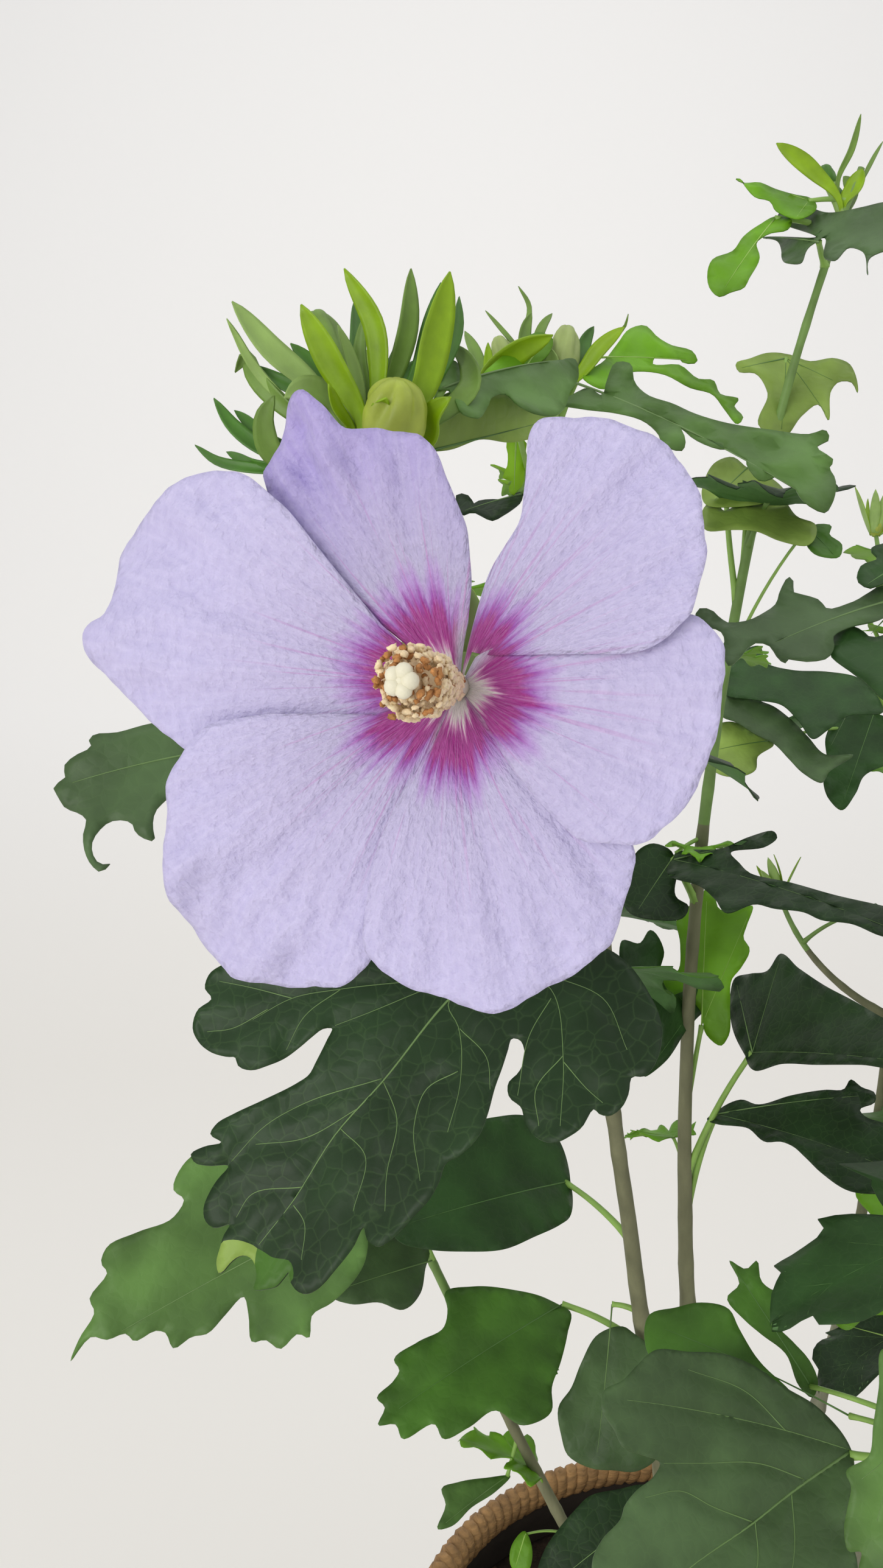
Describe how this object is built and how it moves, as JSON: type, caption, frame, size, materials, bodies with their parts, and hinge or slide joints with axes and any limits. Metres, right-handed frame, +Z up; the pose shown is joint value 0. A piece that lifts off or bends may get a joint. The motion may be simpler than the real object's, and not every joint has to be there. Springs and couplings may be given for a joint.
{
  "type": "potted hibiscus shrub",
  "caption": "Hibiscus shrub in a woven basket planter: forking stems, lobed toothed leaves, bud clusters at the tips and an open lavender bloom with a magenta eye.",
  "frame": {"origin": "centre of the basket's flat underside", "axes": "+Z up, front (the side with the open bloom) towards -Y, +X to the right as seen from the front"},
  "size_m": [0.4352, 0.4684, 0.7579],
  "materials": {
    "basket_fibre": "matte woven plant fibre",
    "potting_mix": "matte crumbly potting mix",
    "bark": "matte young bark, grey-tan to green",
    "foliage": "satin leaves",
    "petal": "soft crinkled petals",
    "stamens": "matte, powdery",
    "calyx_green": "satin"
  },
  "bodies": {
    "root": {"basket": "basket_fibre", "soil": "potting_mix", "root_collar": "bark", "corolla": "petal", "staminal_column": "stamens", "calyx": "calyx_green", "bough_a": "bark", "foliage_a": "foliage", "bough_d": "bark", "foliage_d": "foliage", "bough_g": "bark", "foliage_g": "foliage", "bough_e": "bark", "foliage_e": "foliage", "bough_f": "bark", "foliage_f": "foliage", "bough_h": "bark", "foliage_h": "foliage", "bough_i": "bark", "foliage_i": "foliage", "bough_j": "bark", "foliage_j": "foliage", "bough_k": "bark", "foliage_k": "foliage"}
  },
  "joints": []
}
